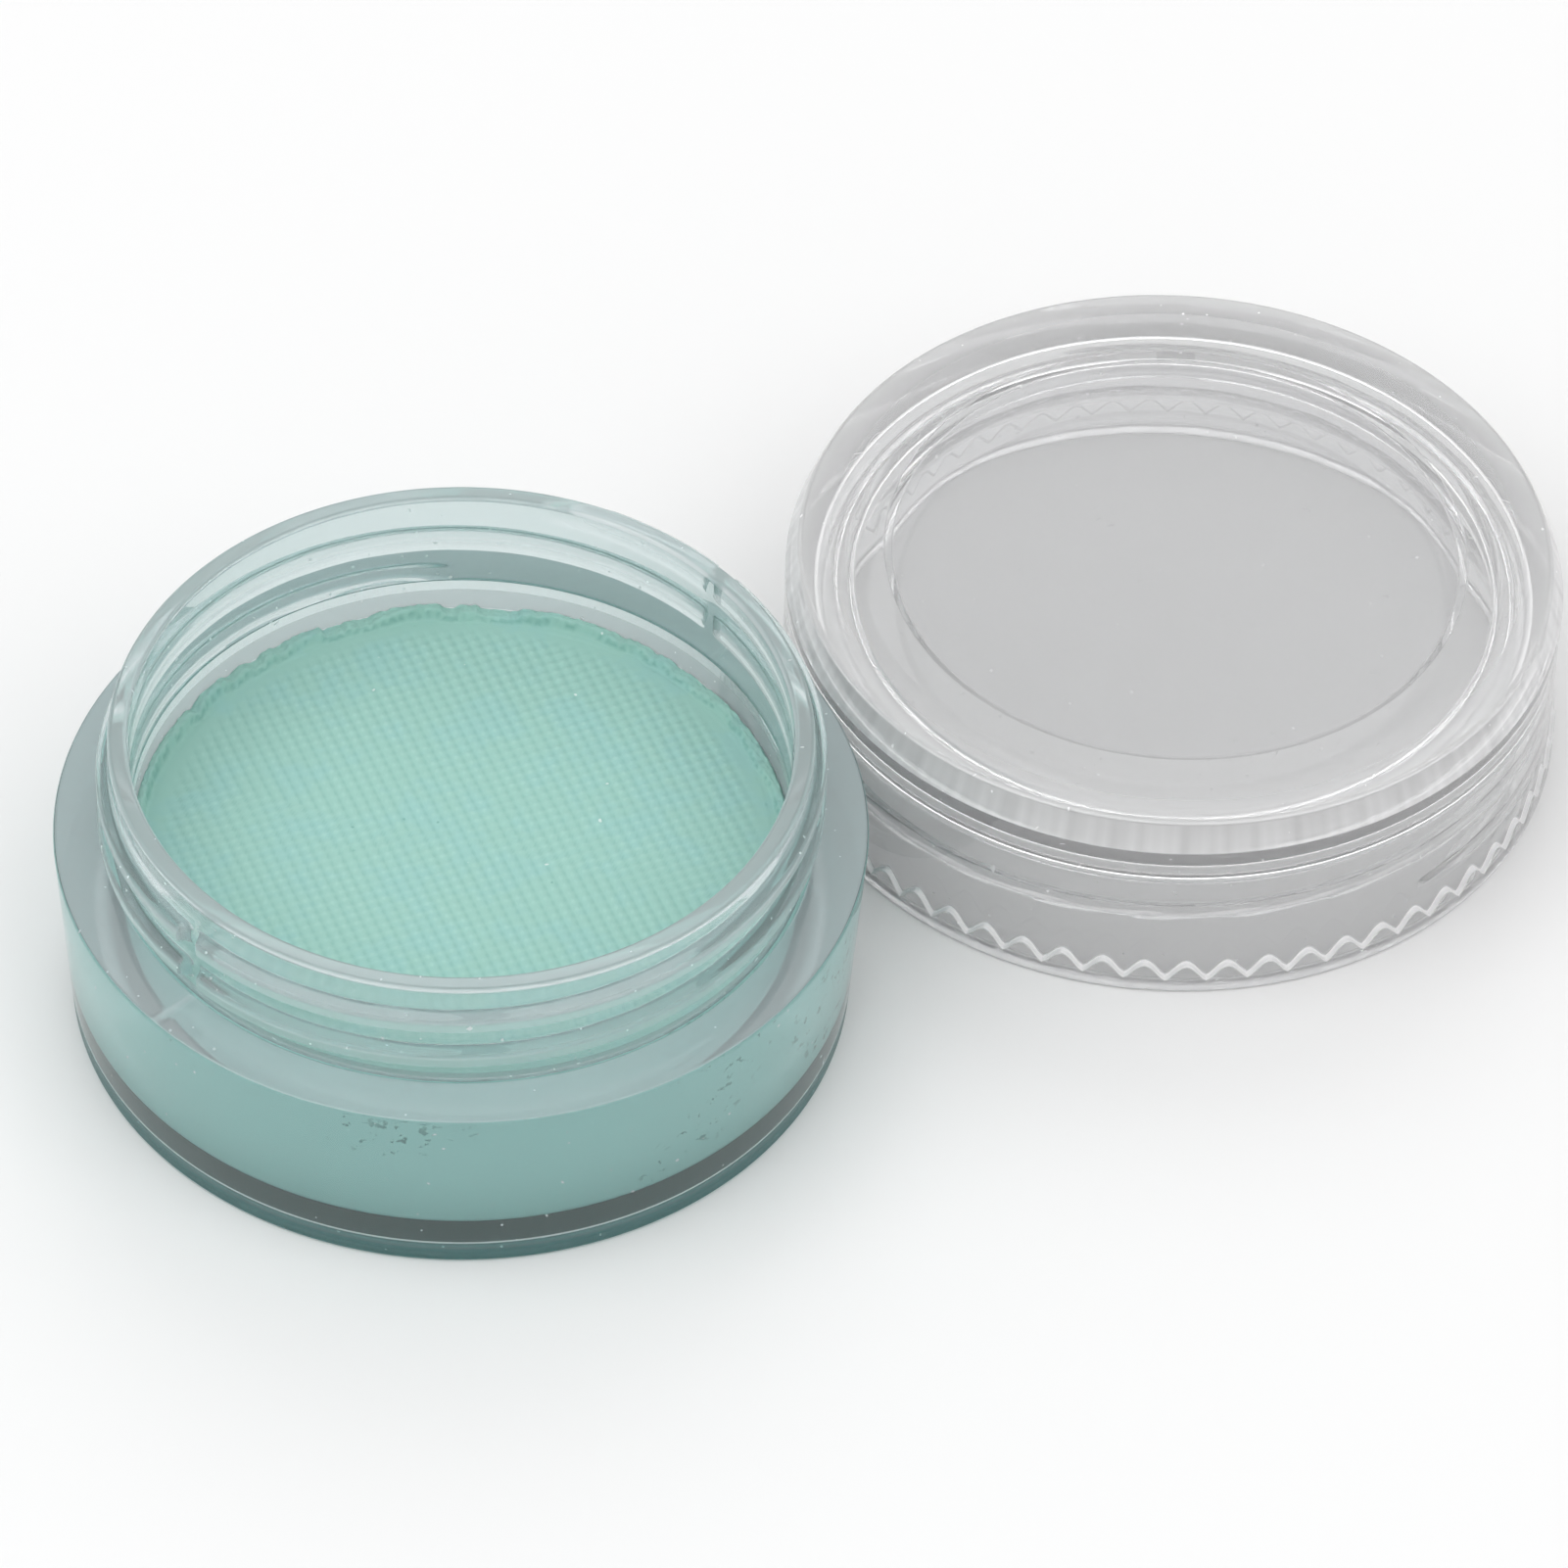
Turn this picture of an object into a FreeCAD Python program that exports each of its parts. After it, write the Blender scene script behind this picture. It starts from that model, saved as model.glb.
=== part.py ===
import FreeCAD, Part
import math
import os

import Sketcher

# A clear screw-top pot of pressed cake paint, open, with its lid lying beside it on the table.
# The origin is the middle of the pot's base, +Z is up and the lid lies towards +X.
# All sizes are in millimetres.

SIZES = {
    # Pot
    "bore_radius": 16.2,
    "neck_wall": 1.0,
    "ledge_width": 2.8,
    "wall_draft": 0.7,
    "floor_thickness": 1.5,
    "body_height": 10.7,
    "neck_height": 6.3,
    "rim_round": 0.25,
    "shoulder_round": 0.2,
    "foot_round": 0.3,
    "foot_width": 1.6,
    "foot_groove_width": 0.8,
    "foot_groove_depth": 0.45,
    # Pressed cake of paint in the pot
    "cake_clearance": 0.05,
    "cake_depth": 7.7,
    "lip_height": 0.5,
    "lip_width": 0.8,
    "lip_crest": 0.35,
    # Screw lid
    "thread_depth": 0.6,
    "lid_clearance": 0.35,
    "skirt_wall": 1.5,
    "flange_reach": 0.25,
    "flange_height": 1.5,
    "flange_round": 0.2,
    "ridge_inset": 0.65,
    "ridge_drop": 1.6,
    "ridge_round": 0.35,
    "recess_margin": 4.95,
    "recess_slope": 0.4,
    "recess_depth": 0.3,
    "recess_round": 0.15,
    "panel_thickness": 3.9,
    "seal_width": 0.8,
    "seal_height": 1.05,
    "seal_gap": 0.25,
    # Grip flutes round the foot of the lid's skirt
    "flute_count": 60,
    "flute_depth": 0.7,
    "flute_land": 0.16,
    "flute_run": 0.8,
    "flute_overshoot": 0.3,
    # Rest pose
    "rest_gap": 0.5,
}

SHEET = "Sizes"
ORIGIN_POINT = (-1, 1)
HORIZONTAL_AXIS = -1
VERTICAL_AXIS = -2
START, END = 1, 2
TOLERANCE = 1e-4


class Size:
    """A size with its value and the expression that gives it from the sheet's cells."""

    def __init__(self, value, text):
        self.value = float(value)
        self.text = text

    def __add__(self, other):
        return Size(self.value + other.value, f"({self.text} + {other.text})")

    def __sub__(self, other):
        return Size(self.value - other.value, f"({self.text} - {other.text})")

    def __mul__(self, other):
        return Size(self.value * other.value, f"({self.text} * {other.text})")

    def __truediv__(self, other):
        return Size(self.value / other.value, f"({self.text} / {other.text})")


ZERO = Size(0, "0")
HALF = Size(0.5, "0.5")
PI = Size(math.pi, "pi")


def make_sheet(doc):
    """Put every driving size into a cell of its own, with its name as the alias."""
    sheet = doc.addObject("Spreadsheet::Sheet", SHEET)
    for row, (name, value) in enumerate(SIZES.items(), start=1):
        sheet.set(f"A{row}", name)
        sheet.set(f"B{row}", str(value))
        sheet.setAlias(f"B{row}", name)
    doc.recompute()
    return {name: Size(sheet.get(name), f"{SHEET}.{name}") for name in SIZES}


def origin_feature(body, role):
    """The plane or axis of a body's own origin that has this role."""
    return next(item for item in body.Origin.OriginFeatures if item.Role == role)


def pin(sketch, point, axis, size):
    """Hold a sketch point at a size along one axis, bound to the sheet."""
    if size.value == 0:
        line = VERTICAL_AXIS if axis == "X" else HORIZONTAL_AXIS
        sketch.addConstraint(Sketcher.Constraint("PointOnObject", *point, line))
        return
    index = sketch.addConstraint(
        Sketcher.Constraint(f"Distance{axis}", *ORIGIN_POINT, *point, size.value)
    )
    sketch.setExpression(f"Constraints[{index}]", size.text)


def outline(body, name, role, points, height=ZERO):
    """A closed outline of straight lines, each corner held by its two sizes."""
    sketch = body.newObject("Sketcher::SketchObject", name)
    sketch.AttachmentSupport = (origin_feature(body, role), [""])
    sketch.MapMode = "FlatFace"
    if height.value:
        sketch.setExpression("AttachmentOffset.Base.z", height.text)
    corners = [FreeCAD.Vector(across.value, up.value, 0) for across, up in points]
    for here, there in zip(corners, corners[1:] + corners[:1]):
        sketch.addGeometry(Part.LineSegment(here, there), False)
    for index, (across, up) in enumerate(points):
        before = (index - 1) % len(points)
        sketch.addConstraint(Sketcher.Constraint("Coincident", before, END, index, START))
        pin(sketch, (index, START), "X", across)
        pin(sketch, (index, START), "Y", up)
    return sketch


def revolve(body, name, points):
    """Turn a half section, drawn as radius and height, about the body's own axis."""
    sketch = outline(body, f"{name}Section", "XZ_Plane", points)
    solid = body.newObject("PartDesign::Revolution", name)
    solid.Profile = sketch
    solid.ReferenceAxis = (sketch, ["V_Axis"])
    solid.Angle = 360
    body.Document.recompute()
    return solid


def ring_edges(shape, radius, height):
    """Names of the round edges of a shape with this radius at this height."""
    names = []
    for number, edge in enumerate(shape.Edges, start=1):
        curve = edge.Curve
        if not isinstance(curve, Part.Circle):
            continue
        if abs(curve.Radius - radius.value) > TOLERANCE:
            continue
        if abs(curve.Center.z - height.value) < TOLERANCE:
            names.append(f"Edge{number}")
    return names


def round_rings(body, base, name, radius, rings):
    """Round the ring edges, each given as radius and height, with one radius."""
    fillet = body.newObject("PartDesign::Fillet", name)
    edges = [edge for ring in rings for edge in ring_edges(base.Shape, *ring)]
    fillet.Base = (base, edges)
    fillet.setExpression("Radius", radius.text)
    body.Document.recompute()
    return fillet


def make_jar(doc, size):
    """Thick-walled clear pot: drafted wall, flat shoulder ledge, plain neck and bore."""
    body = doc.addObject("PartDesign::Body", "Jar")
    body.Label = "jar"
    bore = size["bore_radius"]
    neck = bore + size["neck_wall"]
    shoulder = neck + size["ledge_width"]
    base = shoulder - size["wall_draft"]
    groove_outer = base - size["foot_width"]
    groove_inner = groove_outer - size["foot_groove_width"]
    groove_top = size["foot_groove_depth"]
    ledge = size["body_height"]
    rim = ledge + size["neck_height"]
    floor = size["floor_thickness"]
    section = [
        (ZERO, ZERO),
        (groove_inner, ZERO),
        (groove_inner, groove_top),
        (groove_outer, groove_top),
        (groove_outer, ZERO),
        (base, ZERO),
        (shoulder, ledge),
        (neck, ledge),
        (neck, rim),
        (bore, rim),
        (bore, floor),
        (ZERO, floor),
    ]
    solid = revolve(body, "JarWall", section)
    solid = round_rings(body, solid, "JarRim", size["rim_round"], [(neck, rim), (bore, rim)])
    solid = round_rings(body, solid, "JarShoulder", size["shoulder_round"], [(shoulder, ledge)])
    round_rings(body, solid, "JarFoot", size["foot_round"], [(base, ZERO)])
    return body


def make_paint_cake(doc, size):
    """Pressed cake that fills the bore from the floor up, with a low raised lip at its edge."""
    body = doc.addObject("PartDesign::Body", "PaintCake")
    body.Label = "paint_cake"
    edge = size["bore_radius"] - size["cake_clearance"]
    floor = size["floor_thickness"]
    top = floor + size["cake_depth"]
    crest = top + size["lip_height"]
    section = [
        (ZERO, floor),
        (edge, floor),
        (edge, crest),
        (edge - size["lip_crest"], crest),
        (edge - size["lip_width"], top),
        (ZERO, top),
    ]
    revolve(body, "CakeBlock", section)
    return body


def flute_section(size, skirt, shift):
    """One V notch, drawn in plan: its valley lies inside the skirt and its mouth outside it."""
    half_pitch = PI * skirt / size["flute_count"]
    half_width = half_pitch - size["flute_land"] * HALF
    half_mouth = half_width * (size["flute_depth"] + size["flute_overshoot"]) / size["flute_depth"]
    valley = skirt - size["flute_depth"] + shift
    mouth = skirt + size["flute_overshoot"] + shift
    return [(valley, ZERO), (mouth, ZERO - half_mouth), (mouth, half_mouth)]


def cut_flutes(body, size, skirt):
    """Cut a ring of V flutes that are deepest on the flange and run out up the skirt."""
    foot = size["flange_height"]
    runout = size["flute_depth"] + size["flute_overshoot"] * HALF
    deep = outline(body, "FluteFoot", "XY_Plane", flute_section(size, skirt, ZERO), foot)
    shallow = outline(
        body, "FluteEnd", "XY_Plane", flute_section(size, skirt, runout), foot + size["flute_run"]
    )
    flute = body.newObject("PartDesign::SubtractiveLoft", "Flute")
    flute.Profile = deep
    flute.Sections = [shallow]
    flute.Ruled = True
    body.Document.recompute()
    ring = body.newObject("PartDesign::PolarPattern", "FluteRing")
    ring.Originals = [flute]
    ring.Axis = (origin_feature(body, "Z_Axis"), [""])
    ring.Angle = 360
    ring.setExpression("Occurrences", size["flute_count"].text)
    body.Tip = ring
    body.Document.recompute()


def make_lid(doc, size):
    """Clear screw lid: flange, skirt, a thick top with a shallow recess, and a seal ring inside."""
    body = doc.addObject("PartDesign::Body", "Lid")
    body.Label = "lid"
    bore = size["bore_radius"]
    neck = bore + size["neck_wall"]
    cavity = neck + size["thread_depth"] + size["lid_clearance"]
    skirt = cavity + size["skirt_wall"]
    flange = skirt + size["flange_reach"]
    ridge = skirt - size["ridge_inset"]
    recess = skirt - size["recess_margin"]
    recess_foot = recess - size["recess_slope"]
    rim_middle = (bore + neck) * HALF
    seal_inner = rim_middle - size["seal_width"] * HALF
    seal_outer = rim_middle + size["seal_width"] * HALF
    seal_foot = size["neck_height"] - size["seal_gap"]
    ceiling = seal_foot + size["seal_height"]
    panel = ceiling + size["panel_thickness"]
    top = panel + size["recess_depth"]
    shoulder = top - size["ridge_drop"]
    flange_top = size["flange_height"]
    section = [
        (cavity, ZERO),
        (flange, ZERO),
        (flange, flange_top),
        (skirt, flange_top),
        (skirt, shoulder),
        (ridge, top),
        (recess, top),
        (recess_foot, panel),
        (ZERO, panel),
        (ZERO, ceiling),
        (seal_inner, ceiling),
        (seal_inner, seal_foot),
        (seal_outer, seal_foot),
        (seal_outer, ceiling),
        (cavity, ceiling),
    ]
    solid = revolve(body, "LidShell", section)
    solid = round_rings(
        body, solid, "LidRidge", size["ridge_round"], [(ridge, top), (skirt, shoulder)]
    )
    solid = round_rings(
        body, solid, "LidRecess", size["recess_round"], [(recess, top), (recess_foot, panel)]
    )
    round_rings(body, solid, "LidFlange", size["flange_round"], [(flange, ZERO)])
    cut_flutes(body, size, skirt)
    pot_radius = neck + size["ledge_width"]
    beside = pot_radius + size["rest_gap"] + flange
    body.setExpression("Placement.Base.x", beside.text)
    doc.recompute()
    return body


def check(doc, bodies):
    """Stop if any object of the document failed or a piece isn't one valid solid."""
    for item in doc.Objects:
        if "Invalid" in item.State or "Error" in item.State:
            raise RuntimeError(f"{item.Name} failed: {item.State}")
    for body in bodies:
        shape = body.Shape
        if shape.isNull() or not shape.isValid() or len(shape.Solids) != 1:
            raise RuntimeError(f"{body.Label} isn't one valid solid")


def main():
    """Build the pot, its paint and its lid, and write one STEP file for each."""
    doc = FreeCAD.newDocument("CakePaintPot")
    size = make_sheet(doc)
    bodies = [make_jar(doc, size), make_paint_cake(doc, size), make_lid(doc, size)]
    doc.recompute()
    check(doc, bodies)
    os.makedirs("parts", exist_ok=True)
    for body in bodies:
        body.Shape.exportStep(os.path.join("parts", f"{body.Label}.step"))
        box = body.Shape.optimalBoundingBox()
        print(f"{body.Label}: {body.Shape.Volume:.1f} mm3, {box.XLength:.2f} x {box.YLength:.2f} "
              f"x {box.ZLength:.2f} mm")


main()
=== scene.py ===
"""A clear screw-top pot of pressed paint and its lid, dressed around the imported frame."""

import logging
import math
from dataclasses import dataclass, field
from enum import Enum
from typing import Any, Mapping, Optional, Sequence, Union

import bpy
import numpy as np
from mathutils import Matrix, Vector


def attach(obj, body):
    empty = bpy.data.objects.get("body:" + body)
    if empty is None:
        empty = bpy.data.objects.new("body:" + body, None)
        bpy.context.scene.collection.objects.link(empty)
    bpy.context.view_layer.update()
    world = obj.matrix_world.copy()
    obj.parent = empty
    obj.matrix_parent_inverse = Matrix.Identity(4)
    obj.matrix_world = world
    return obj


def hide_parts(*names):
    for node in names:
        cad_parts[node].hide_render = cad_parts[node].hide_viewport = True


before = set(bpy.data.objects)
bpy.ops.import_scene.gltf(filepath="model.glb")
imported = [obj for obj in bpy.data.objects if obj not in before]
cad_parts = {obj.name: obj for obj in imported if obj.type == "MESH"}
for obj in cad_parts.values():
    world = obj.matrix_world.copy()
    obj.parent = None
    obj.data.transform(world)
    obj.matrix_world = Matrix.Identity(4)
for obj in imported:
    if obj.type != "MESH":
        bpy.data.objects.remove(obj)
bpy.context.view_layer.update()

MM = 0.001
TURN = 2.0 * math.pi
SENSOR_WIDTH = 36.0
log = logging.getLogger("paint_pot")

Value = Union["Wire", float, tuple]


class Body(Enum):
    """The bodies of the frame that a piece can ride on."""

    POT = "pot"
    LID = "lid"


class Maths(Enum):
    """The Math node operations that a wire's arithmetic uses."""

    ADD = "ADD"
    SUBTRACT = "SUBTRACT"
    MULTIPLY = "MULTIPLY"


class Wire:
    """An output socket that can be used in Python arithmetic."""

    def __init__(self, graph: "Graph", socket: bpy.types.NodeSocket) -> None:
        """Keeps the graph that adds nodes and the socket that this wire starts from."""
        self.graph = graph
        self.socket = socket

    def _with(self, kind: Maths, other: Value, flipped: bool = False) -> "Wire":
        """Adds a Math node.

        Args:
            kind: the operation.
            other: the second value, a number or a wire.
            flipped: whether the other value comes first.

        Returns:
            The result's wire.
        """
        first, second = (other, self) if flipped else (self, other)
        return self.graph.node("ShaderNodeMath", {"operation": kind.value}, {0: first, 1: second})

    def __add__(self, other: Value) -> "Wire":
        """This value plus another."""
        return self._with(Maths.ADD, other)

    def __radd__(self, other: Value) -> "Wire":
        """Another value plus this one."""
        return self._with(Maths.ADD, other, True)

    def __sub__(self, other: Value) -> "Wire":
        """This value less another."""
        return self._with(Maths.SUBTRACT, other)

    def __rsub__(self, other: Value) -> "Wire":
        """Another value less this one."""
        return self._with(Maths.SUBTRACT, other, True)

    def __mul__(self, other: Value) -> "Wire":
        """This value times another."""
        return self._with(Maths.MULTIPLY, other)

    def __rmul__(self, other: Value) -> "Wire":
        """Another value times this one."""
        return self._with(Maths.MULTIPLY, other, True)


class Graph:
    """The node tree of a material or of the world, built from nothing."""

    def __init__(self, tree: bpy.types.NodeTree) -> None:
        """Clears the tree and keeps it."""
        tree.nodes.clear()
        self.tree = tree

    @staticmethod
    def _find(sockets: Any, key: Union[int, str]) -> bpy.types.NodeSocket:
        """Finds a socket.

        Args:
            sockets: a node's inputs or its outputs.
            key: the socket's place, identifier or name.

        Returns:
            The socket.
        """
        if isinstance(key, int):
            return sockets[key]
        by_identifier = [s for s in sockets if s.identifier == key]
        return by_identifier[0] if by_identifier else sockets[key]

    def node(self, kind: str, settings: Mapping[str, Any], sockets: Mapping[Union[int, str], Value],
             output: Union[int, str] = 0) -> Optional[Wire]:
        """Adds one node.

        Args:
            kind: the node's type.
            settings: its properties, which are set first.
            sockets: a value or a wire for each of its inputs.
            output: the output that the wire starts from.

        Returns:
            The wire of that output, or None from a node that has no outputs.
        """
        made = self.tree.nodes.new(kind)
        for name, setting in settings.items():
            setattr(made, name, setting)
        for key, value in sockets.items():
            target = self._find(made.inputs, key)
            if isinstance(value, Wire):
                self.tree.links.new(value.socket, target)
            else:
                target.default_value = value
        if not len(made.outputs):
            return None
        return Wire(self, self._find(made.outputs, output))

    def noise(self, coords: Wire, cells: float, detail: float, rough: float) -> Wire:
        """A noise between 0 and 1.

        Args:
            coords: where it is read, in metres.
            cells: its cells per metre.
            detail: its octaves.
            rough: how strong the finer octaves are.

        Returns:
            The noise's wire.
        """
        return self.node("ShaderNodeTexNoise", {},
                         {"Vector": coords, "Scale": cells, "Detail": detail, "Roughness": rough})

    def ramp(self, value: Wire, low: float, high: float) -> Wire:
        """A smooth step of a value, from 0 at low to 1 at high."""
        return self.node("ShaderNodeMapRange", {"interpolation_type": "SMOOTHSTEP"},
                         {"Value": value, "From Min": low, "From Max": high})

    def blend(self, share: Value, first: Value, second: Value) -> Wire:
        """A mix of two colours.

        Args:
            share: how much of the second, from 0 to 1.
            first: the colour at 0.
            second: the colour at 1.

        Returns:
            The mixed colour's wire.
        """
        return self.node("ShaderNodeMix", {"data_type": "RGBA"},
                         {"Factor_Float": share, "A_Color": first, "B_Color": second}, "Result_Color")

    def bump(self, height: Wire, strength: float, distance: float) -> Wire:
        """A normal that leans with a height, which counts for so many metres at 1."""
        return self.node("ShaderNodeBump", {},
                         {"Strength": strength, "Distance": distance, "Height": height})


@dataclass(frozen=True)
class Spots:
    """The places where a noise passes a threshold, with a soft edge."""

    cells: float
    detail: float
    rough: float
    low: float
    high: float

    def mask(self, graph: Graph, coords: Wire) -> Wire:
        """Finds the spots in a material.

        Args:
            graph: the material's graph.
            coords: the piece's own coordinates.

        Returns:
            A wire that is 0 where the noise is below low and 1 where it is above high.
        """
        return graph.ramp(graph.noise(coords, self.cells, self.detail, self.rough), self.low, self.high)


@dataclass(frozen=True)
class Zone:
    """A ring-shaped part of a piece about an upright axis, by its radii and heights in metres."""

    inner: float
    outer: float
    low: float
    high: float
    centre: float = 0.0
    edge: float = 0.00003

    def mask(self, graph: Graph, coords: Wire) -> Wire:
        """Finds the zone in a material.

        Args:
            graph: the material's graph.
            coords: the piece's own coordinates.

        Returns:
            A wire that is 1 in the zone and 0 outside it.
        """
        flat = graph.node("ShaderNodeVectorMath", {"operation": "MULTIPLY_ADD"},
                          {0: coords, 1: (1.0, 1.0, 0.0), 2: (-self.centre, 0.0, 0.0)})
        reach = graph.node("ShaderNodeVectorMath", {"operation": "LENGTH"}, {0: flat}, "Value")
        height = graph.node("ShaderNodeSeparateXYZ", {}, {"Vector": coords}, "Z")
        across, up = (
            graph.ramp(value, low - self.edge, low + self.edge)
            * (1.0 - graph.ramp(value, high - self.edge, high + self.edge))
            for value, low, high in ((reach, self.inner, self.outer), (height, self.low, self.high)))
        return across * up


@dataclass(frozen=True)
class Coating:
    """A matt coat on a zone of a clear piece: how much of it shows, its colour and its dark flaws.

    A sheer coat also lets light through, as frosting does.
    """

    zone: Zone
    share: float
    colour: tuple
    sheer: float = 0.0
    flaw: float = 0.0
    flaw_colour: tuple = (0.10, 0.24, 0.22, 1.0)
    cracks: Spots = Spots(1500.0, 4.0, 0.7, 0.595, 0.62)
    cracked: Spots = Spots(95.0, 2.0, 0.5, 0.54, 0.62)

    def tone(self, graph: Graph, coords: Wire) -> Value:
        """The coat's colour, with cracks in sparse patches where it has flaws.

        Args:
            graph: the material's graph.
            coords: the piece's own coordinates.

        Returns:
            A plain colour, or a wire of one.
        """
        if not self.flaw:
            return self.colour
        dark = self.cracks.mask(graph, coords) * self.cracked.mask(graph, coords) * self.flaw
        return graph.blend(dark, self.colour, self.flaw_colour)


@dataclass(frozen=True)
class ClearPlastic:
    """Clear moulded polystyrene with a faint moulding ripple, haze, dust and light handling scuffs.

    The veil is the haze's colour. A second colour goes on dust and on the points marked pale, which paint
    highlights and light onto the plastic, with some frost.
    """

    name: str
    tint: tuple
    veil: tuple
    dust: float
    painted_light_and_dust: tuple = (0.93, 0.93, 0.935, 1.0)
    painted_light_and_dust_sheer: float = 0.5
    haze: float = 0.12
    haze_sheer: float = 0.5
    index: float = 1.59
    polish: float = 0.02
    scuff: float = 0.14
    scuffed: Spots = Spots(260.0, 4.0, 0.6, 0.52, 0.75)
    hairs: Spots = Spots(3200.0, 2.0, 0.5, 0.6, 0.8)
    specks: Spots = Spots(2900.0, 0.0, 0.5, 0.84, 0.86)
    ripple: tuple = (420.0, 2.0, 0.4)
    ripple_strength: float = 0.25
    ripple_height: float = 0.00001
    coat_roughness: float = 0.8
    coat_shine: float = 0.2
    coatings: tuple = ()

    def make(self) -> bpy.types.Material:
        """Builds the material.

        Returns:
            A see-through plastic whose roughness rises in soft scuffed patches.
        """
        material = bpy.data.materials.new(self.name)
        material.use_nodes = True
        graph = Graph(material.node_tree)
        coords = graph.node("ShaderNodeTexCoord", {}, {}, "Object")
        scratches = self.scuffed.mask(graph, coords) * self.hairs.mask(graph, coords)
        ripple = graph.noise(coords, *self.ripple)
        skin = graph.node("ShaderNodeBsdfPrincipled", {}, {
            "Base Color": self.tint,
            "Roughness": scratches * self.scuff + self.polish,
            "IOR": self.index,
            "Transmission Weight": 1.0,
            "Normal": graph.bump(ripple, self.ripple_strength, self.ripple_height),
        })
        frost_and_painted_light = graph.node("ShaderNodeAttribute", {"attribute_name": "frost_and_painted_light"}, {}, "Fac")
        dust = self.specks.mask(graph, coords) * self.dust
        skin = self._coat(graph, self.haze, skin, self.veil, self.haze_sheer)
        # Pale points: painted highlights and painted light, with some frost, and dust specks.
        skin = self._coat(graph, frost_and_painted_light + dust, skin, self.painted_light_and_dust, self.painted_light_and_dust_sheer)
        for coating in self.coatings:
            share = coating.zone.mask(graph, coords) * coating.share
            skin = self._coat(graph, share, skin, coating.tone(graph, coords), coating.sheer)
        graph.node("ShaderNodeOutputMaterial", {}, {"Surface": skin})
        return material

    def _coat(self, graph: Graph, share: Value, skin: Wire, colour: Value, sheer: float) -> Wire:
        """Mixes a matt coat into the skin.

        Args:
            graph: the material's graph.
            share: how much of the coat shows.
            skin: the skin so far.
            colour: the coat's colour.
            sheer: how much of its light the coat lets through, from 0 to 1.

        Returns:
            The mixed shader.
        """
        coat = graph.node("ShaderNodeBsdfPrincipled", {}, {
            "Base Color": colour, "Roughness": self.coat_roughness, "Specular IOR Level": self.coat_shine})
        if sheer:
            glow = graph.node("ShaderNodeBsdfTranslucent", {}, {"Color": colour})
            coat = graph.node("ShaderNodeMixShader", {}, {0: sheer, 1: coat, 2: glow})
        return graph.node("ShaderNodeMixShader", {}, {0: share, 1: skin, 2: coat})


@dataclass(frozen=True)
class PressedPaint:
    """Matt pressed paint: mint with bluer patches, a weave with painted shade and highlights, worn in
    places, pits and a few pale grains.

    The points' shade attribute is above 0 where shade is painted, in the weave's valleys and the lip's
    broken climb, and below 0 where a highlight is painted on the weave's crests.
    """

    name: str
    mint: tuple = (0.345, 0.590, 0.523, 1.0)
    blue: tuple = (0.335, 0.587, 0.543, 1.0)
    crest: tuple = (0.47, 0.73, 0.66, 1.0)
    deep: tuple = (0.16, 0.37, 0.32, 1.0)
    pale: tuple = (0.75, 0.85, 0.82, 1.0)
    bluish: Spots = Spots(380.0, 3.0, 0.6, 0.44, 0.66)
    worn: Spots = Spots(800.0, 2.0, 0.5, 0.3, 0.7)
    pits: Spots = Spots(1300.0, 1.0, 0.4, 0.80, 0.84)
    grains: Spots = Spots(1700.0, 0.0, 0.5, 0.865, 0.88)
    crest_share: float = 0.2
    worn_share: float = 0.5
    deep_share: float = 0.75
    pit_share: float = 0.7
    grain_share: float = 0.8
    powder: tuple = (9000.0, 3.0, 0.7)
    powder_strength: float = 0.35
    powder_height: float = 0.00003
    powder_dulling: float = 0.12
    roughness: float = 0.82
    shine: float = 0.3

    def make(self) -> bpy.types.Material:
        """Builds the material.

        Returns:
            A matt paint with a powdery grain.
        """
        material = bpy.data.materials.new(self.name)
        material.use_nodes = True
        graph = Graph(material.node_tree)
        coords = graph.node("ShaderNodeTexCoord", {}, {}, "Object")
        painted_shade_and_highlight = graph.node("ShaderNodeAttribute", {"attribute_name": "painted_shade_and_highlight"}, {}, "Fac")
        powder = graph.noise(coords, *self.powder)
        wear = self.worn.mask(graph, coords) * self.worn_share
        colour = graph.blend(self.bluish.mask(graph, coords), self.mint, self.blue)
        # A painted highlight on the weave's crests, stronger in worn patches, then painted shade in its
        # valleys and on the lip's broken climb.
        colour = graph.blend(painted_shade_and_highlight * (-self.crest_share - wear), colour, self.crest)
        colour = graph.blend(painted_shade_and_highlight * self.deep_share, colour, self.deep)
        colour = graph.blend(self.pits.mask(graph, coords) * self.pit_share, colour, self.deep)
        colour = graph.blend(self.grains.mask(graph, coords) * self.grain_share, colour, self.pale)
        skin = graph.node("ShaderNodeBsdfPrincipled", {}, {
            "Base Color": colour,
            "Roughness": powder * self.powder_dulling + self.roughness,
            "Specular IOR Level": self.shine,
            "Normal": graph.bump(powder, self.powder_strength, self.powder_height),
        })
        graph.node("ShaderNodeOutputMaterial", {}, {"Surface": skin})
        return material


@dataclass(frozen=True)
class Corner:
    """A corner of a revolved outline: radius, height and how far it is rounded, in millimetres.

    The arc is the number of straight steps that the rounding takes.
    """

    r: float
    z: float
    round: float = 0.0
    arc: int = 5


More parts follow.
